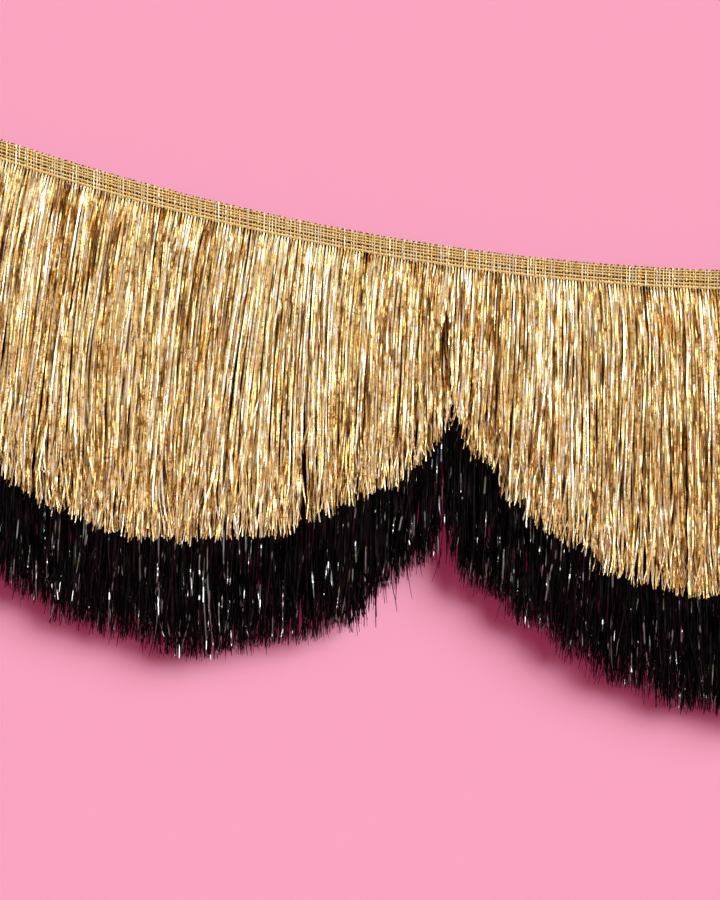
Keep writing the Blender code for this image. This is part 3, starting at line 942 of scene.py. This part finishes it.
eye = {
    "seed": {"left": 91, "right": 92}, "endGap": 0.00095, "depth": -0.00115,
    "neck": 0.0018, "neckPoints": 12, "lead": 0.0006,
    "out": 0.0085, "radius": 0.00435, "ringPoints": 57,
    "tall": 0.0075, "cords": 5,
    "cordHalf": (0.44, 0.00030),  # a share of the cords' spacing, and a depth
    "uneven": 0.04, "crimp": 0.00008,
    "weftStep": 0.0013, "weftRings": 26, "weftPast": 0.05, "weftReach": 0.00037,
    "weftTurn": 0.12, "weftWidth": (0.0007, 0.0010), "shade": (0.3, 0.9),
}


def eyePlan(way):
    # both plies of the neck and the ring between them, as one path in plan
    neck = way * (halfSpan + eye["endGap"] + eye["neck"] / 2)
    apart = eye["neck"] / 4
    gap = math.asin(apart / eye["radius"])
    angle = np.linspace(-math.pi + gap, math.pi - gap, eye["ringPoints"])
    ring = eye["out"] + eye["radius"] * np.cos(angle)
    run = np.linspace(-eye["lead"], ring[0] - eye["lead"], eye["neckPoints"])
    across = np.concatenate([run, ring, run[::-1]])
    ply = np.full(eye["neckPoints"], apart)
    deep = np.concatenate([-ply, eye["radius"] * np.sin(angle), ply])
    return neck + way * across, eye["depth"] + deep


def hangingLoop(side, way):
    rng = np.random.default_rng(eye["seed"][side])
    x, y = eyePlan(way)
    neck = x[0] + way * eye["lead"]
    base = belowTop(neck, banner["headerHeight"] / 2) + swagSlope(way * halfSpan) * (x - neck)
    travel = np.concatenate([[0], np.cumsum(np.hypot(np.diff(x), np.diff(y)))])
    normal = unit(np.stack([np.gradient(y), -np.gradient(x)], axis=-1))
    pitch = eye["tall"] / eye["cords"]
    cordNumber, wefts = np.arange(eye["cords"])[:, None], int(travel[-1] / eye["weftStep"])
    level = (cordNumber + 0.5) * pitch - eye["tall"] / 2
    crimp = eye["crimp"] * np.cos(math.pi * (travel / travel[-1] * wefts + cordNumber))
    path = np.stack([x + crimp * normal[:, 0], y + crimp * normal[:, 1], base + level], axis=-1)
    thick = 1 + rng.normal(0, eye["uneven"], path.shape[:2])
    tall, out = eye["cordHalf"]
    shape = tubes(path, pitch * tall * thick, out * thick, tape["cordCorners"])
    cords = newPiece("loopCords_" + side, shape, goldYarn)

    at = (np.arange(wefts) + 0.5) / wefts * travel[-1]
    lines = (x, y, base, normal[:, 0], normal[:, 1])
    weftX, weftY, weftBase, outX, outY = (np.interp(at, travel, line)[:, None] for line in lines)
    past = 0.5 + eye["weftPast"]
    fine = np.linspace(-past, eye["cords"] - 1 + past, eye["weftRings"])
    over = np.cos(math.pi * (fine + np.arange(wefts)[:, None])) * eye["weftReach"]
    up = (fine + 0.5) * pitch - eye["tall"] / 2
    path = np.stack([weftX + over * outX, weftY + over * outY, weftBase + up], axis=-1)
    turn = np.arctan2(-outX, -outY) + rng.normal(0, eye["weftTurn"], over.shape)
    width = rng.uniform(*eye["weftWidth"], (wefts, 1)) * np.ones(len(fine))
    shape = ribbons(path[:, ::-1], turn[:, ::-1], width, tape["weftCrease"])
    shade = rng.uniform(*eye["shade"], wefts)
    wrap = ribbonPiece("loopWefts_" + side, shape, goldFoil, shade,
                       np.tile(fine * pitch, (wefts, 1)), wefts)
    return cords, wrap


for side, way in (("left", -1), ("right", 1)):
    strip, tackThread = bindingStrip(side, way), barTack(side, way)
    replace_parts(strip, "end_binding_" + side)
    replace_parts(tackThread, "bar_tack_" + side)
    for piece in (strip, tackThread, bindingStitches(side, way)):
        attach(piece, "header_" + side)
    cords, wrap = hangingLoop(side, way)
    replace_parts(cords, "hanging_eye_" + side)
    for piece in (cords, wrap):
        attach(piece, "eye_" + side)
print("ends bound")


# Stage: a wall close behind, a pale floor, soft lamps and the photograph's view

stage = {
    "size": 6.0, "wallDepth": 0.0145, "floorHeight": -0.62,
    "wallColour": (0.89, 0.452, 0.610),
    "wallGlow": (0.16, 0.006, 0.032),   # the light that the room throws back into the shadows
    "floorColour": (0.86, 0.80, 0.81), "floorRough": 0.85,
    "floorBounce": (0.12, 0.10, 0.10),  # the floor throws little light up at the wall
}
backdropRays = ("Is Camera Ray", "Is Glossy Ray", "Is Transmission Ray")


def plane(name, corners, material):
    mesh = bpy.data.meshes.new(name)
    mesh.from_pydata(corners, [], [(0, 1, 2, 3)])
    mesh.materials.append(material)
    sheet = bpy.data.objects.new(name, mesh)
    bpy.context.scene.collection.objects.link(sheet)


def wallMaterial():
    # seen only from the front, and it stands in the way of no light
    material = bpy.data.materials.new("wallPaint")
    material.use_nodes = True
    tree = material.node_tree
    tree.nodes.clear()
    paint = tree.nodes.new("ShaderNodeBsdfDiffuse")
    paint.inputs["Color"].default_value = (*stage["wallColour"], 1)
    glow = tree.nodes.new("ShaderNodeEmission")
    glow.inputs["Color"].default_value = (*stage["wallGlow"], 1)
    both = tree.nodes.new("ShaderNodeAddShader")
    clear = tree.nodes.new("ShaderNodeBsdfTransparent")
    pick = tree.nodes.new("ShaderNodeMixShader")
    face = tree.nodes.new("ShaderNodeNewGeometry")
    out = tree.nodes.new("ShaderNodeOutputMaterial")
    seen = addSeen(tree, backdropRays)
    front = addMath(tree, "SUBTRACT", seen, face.outputs["Backfacing"], True)
    for value, socket in (
        (paint.outputs[0], both.inputs[0]), (glow.outputs[0], both.inputs[1]),
        (front, pick.inputs[0]), (clear.outputs[0], pick.inputs[1]),
        (both.outputs[0], pick.inputs[2]), (pick.outputs[0], out.inputs["Surface"]),
    ):
        tree.links.new(value, socket)
    return material


def floorMaterial():
    material, tree, shader = newMaterial("floorPaint", 0.0, 0.0)
    bounce, colour = (*stage["floorBounce"], 1), (*stage["floorColour"], 1)
    paint = addMix(tree, addSeen(tree, backdropRays), bounce, colour)
    tree.links.new(paint, shader.inputs["Base Color"])
    shader.inputs["Roughness"].default_value = stage["floorRough"]
    return material


size, deep, low = stage["size"], stage["wallDepth"], stage["floorHeight"]
plane("wall", [(-size, deep, low), (size, deep, low), (size, deep, size), (-size, deep, size)],
      wallMaterial())
plane("floor", [(-size, -size, low), (size, -size, low), (size, size, low), (-size, size, low)],
      floorMaterial())

# A wide soft source, even over the wall and the floor. The foil sees a dimmer, cooler one in its
# place, and two narrow strips that only glint.
sunWay, sunAngle = (-4.96, 4.06, -2.73), 37
suns = (  # name, strength, tint, glints only
    ("keyLamp", 4.1, (1, 1, 1), False),
    ("keyGlint", 1.15, (0.93, 0.98, 1.30), True),
)
boxTarget = (-0.1, 0, -0.05)
boxes = (  # name, place, size, watts, glints only
    ("rightStrip", (1.7, -1.0, 0.15), (0.30, 1.6), 12, True),
    ("leftStrip", (-1.6, -0.9, 0.15), (0.30, 1.6), 12, True),
    ("backLamp", (0.6, 1.6, 0.8), (1.2, 1.2), 16, False),  # lights the back, through the wall
)


def addLamp(name, kind, way):
    lamp = bpy.data.objects.new(name, bpy.data.lights.new(name, kind))
    bpy.context.scene.collection.objects.link(lamp)
    lamp.rotation_euler = Vector(way).to_track_quat("-Z", "Y").to_euler()
    return lamp


for name, strength, tint, glints in suns:
    lamp = addLamp(name, "SUN", sunWay)
    lamp.data.energy, lamp.data.color = strength, tint
    lamp.data.angle = math.radians(sunAngle)
    lamp.visible_diffuse, lamp.visible_glossy = not glints, glints
for name, place, size, watts, glints in boxes:
    lamp = addLamp(name, "AREA", np.array(boxTarget) - np.array(place))
    lamp.location = place
    lamp.data.shape, lamp.data.energy = "RECTANGLE", watts
    lamp.data.size, lamp.data.size_y = size
    lamp.visible_camera, lamp.visible_diffuse = False, not glints

room = {
    "soft": (0.19, 0.046, 0.064, 1),                               # its light on dull surfaces
    "dim": (0.54, 0.41, 0.18, 1), "bright": (1.00, 1.03, 1.16, 1),  # what shines in the foil
    "noise": (3.0, 1.0), "edge": (0.39, 0.61),
    "backdrop": (0.92, 0.88, 0.89, 1),
}
world = bpy.data.worlds.new("room")
bpy.context.scene.world = world
world.use_nodes = True
tree = world.node_tree
where = tree.nodes.new("ShaderNodeTexCoord").outputs["Generated"]
windows = addRange(tree, addNoise(tree, where, *room["noise"]), room["edge"])
shine = addMix(tree, windows, room["dim"], room["bright"])
seen = addMix(tree, addSeen(tree, ("Is Glossy Ray",)), room["soft"], shine)
clearView = addSeen(tree, ("Is Camera Ray", "Is Transmission Ray"))
seen = addMix(tree, clearView, seen, room["backdrop"])
tree.links.new(seen, tree.nodes["Background"].inputs["Color"])

view = {"place": (-0.190, -1.10, -0.0885), "roll": -1.2, "height": 0.450}  # height at the banner
lens = bpy.data.cameras.new("camera")
lens.sensor_fit, lens.sensor_height = "VERTICAL", 36
lens.lens = lens.sensor_height * -view["place"][1] / view["height"]
camera = bpy.data.objects.new("camera", lens)
bpy.context.scene.collection.objects.link(camera)
camera.location = view["place"]
camera.rotation_euler = (math.pi / 2, math.radians(view["roll"]), 0)
bpy.context.scene.camera = camera
bpy.context.scene.view_settings.view_transform = "Standard"
print("stage set")
